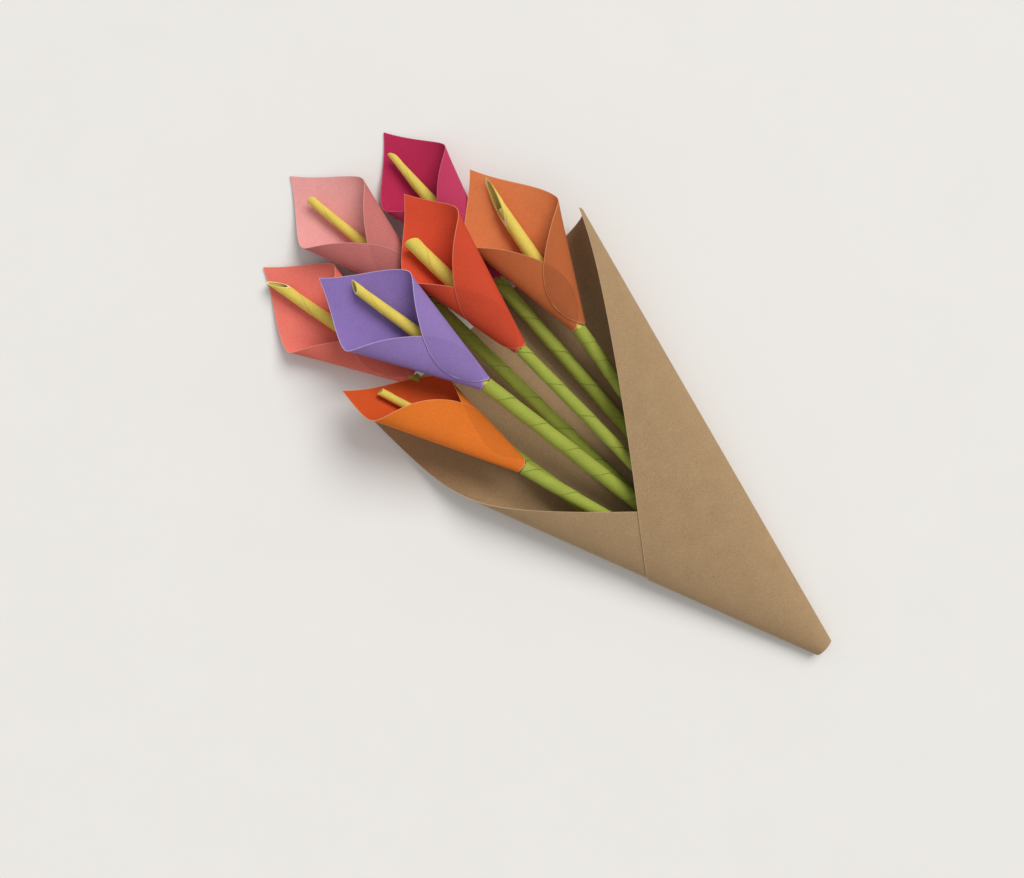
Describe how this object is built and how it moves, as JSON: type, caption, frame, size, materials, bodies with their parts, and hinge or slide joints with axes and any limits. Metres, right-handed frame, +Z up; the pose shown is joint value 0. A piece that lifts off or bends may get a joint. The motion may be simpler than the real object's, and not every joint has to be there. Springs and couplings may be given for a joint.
{
  "type": "paper flower bouquet",
  "caption": "Bouquet of rolled paper calla lilies on slender rolled stems, gathered in a rolled brown paper cone and lying on its back; a decoration that can be handed over or laid down.",
  "frame": {"origin": "centre of the bounding box's underside, on the surface the bouquet lies on", "axes": "+Y from the wrap's closed tip to the flowers, +Z up through the open front, +X to the right seen from the tip"},
  "size_m": [0.186, 0.4472, 0.0538],
  "materials": {
    "magenta_paper": "matt, fine grain",
    "pink_paper": "matt, fine grain",
    "light_orange_paper": "matt, fine grain",
    "coral_paper": "matt, fine grain",
    "salmon_paper": "matt, fine grain",
    "purple_paper": "matt, fine grain",
    "orange_paper": "matt, fine grain",
    "green_paper": "matt, fine grain",
    "yellow_paper": "matt, fine grain",
    "kraft_paper": "matt kraft, flecked fibres"
  },
  "bodies": {
    "root": {"kraft_wrap": "kraft_paper", "magenta_spathe": "magenta_paper", "magenta_spadix": "yellow_paper", "magenta_stem": "green_paper", "pink_spathe": "pink_paper", "pink_spadix": "yellow_paper", "pink_stem": "green_paper", "light_orange_spathe": "light_orange_paper", "light_orange_spadix": "yellow_paper", "light_orange_stem": "green_paper", "coral_spathe": "coral_paper", "coral_spadix": "yellow_paper", "coral_stem": "green_paper", "salmon_spathe": "salmon_paper", "salmon_spadix": "yellow_paper", "salmon_stem": "green_paper", "purple_spathe": "purple_paper", "purple_spadix": "yellow_paper", "purple_stem": "green_paper", "orange_spathe": "orange_paper", "orange_spadix": "yellow_paper", "orange_stem": "green_paper"}
  },
  "joints": []
}
